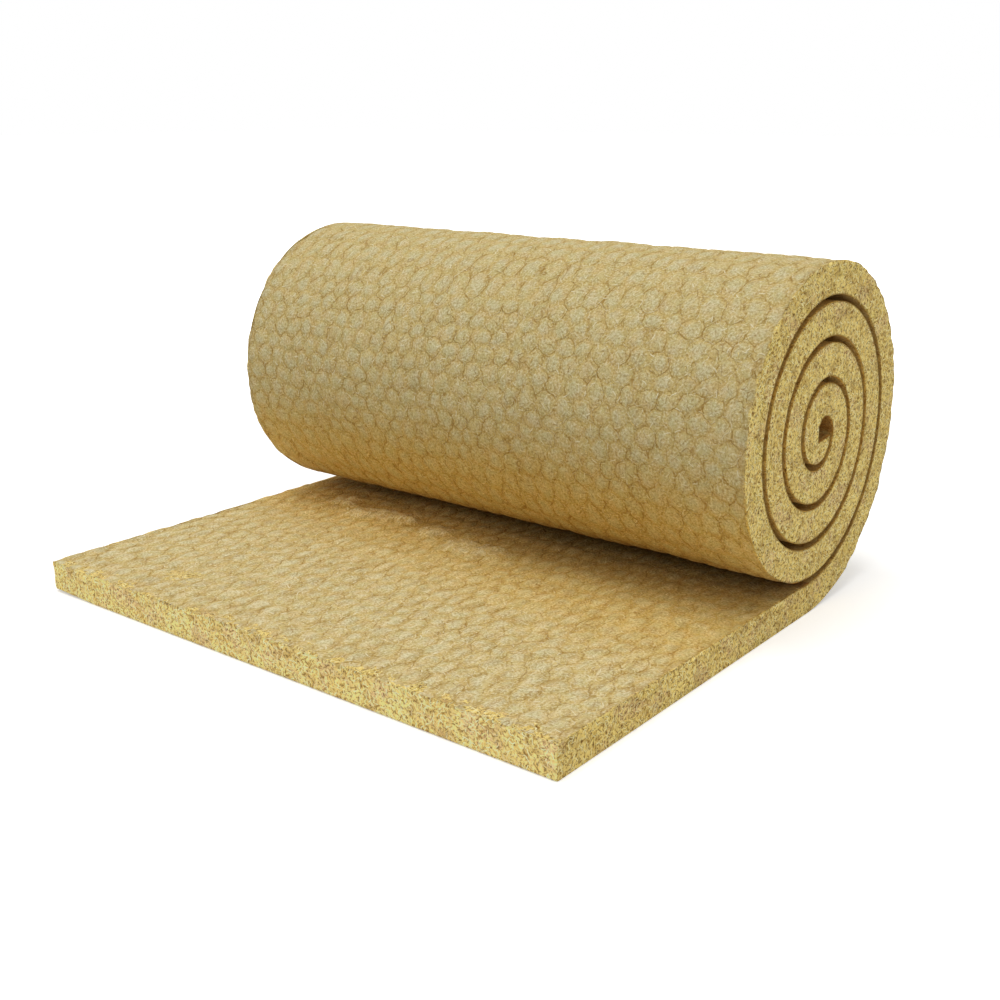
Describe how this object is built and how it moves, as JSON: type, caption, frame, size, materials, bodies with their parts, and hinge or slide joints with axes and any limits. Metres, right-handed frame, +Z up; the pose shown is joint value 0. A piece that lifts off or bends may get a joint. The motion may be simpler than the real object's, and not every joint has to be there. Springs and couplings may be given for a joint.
{
  "type": "rock wool mat roll",
  "caption": "Flexible rock wool insulation mat, wound into a loose open roll with its outer end laid out flat, for lining walls, roofs and pipes.",
  "frame": {"origin": "on the floor, under the middle of the mat's overall box", "axes": "+X across the mat along the roll's axis, +Y from the free front edge towards the roll, +Z up"},
  "size_m": [1, 0.9376, 0.54],
  "materials": {
    "rock_wool": "matte, unfaced mineral fibre with a quilted face and rough cut sides"
  },
  "bodies": {
    "root": {"rock_wool_mat": "rock_wool"}
  },
  "joints": []
}
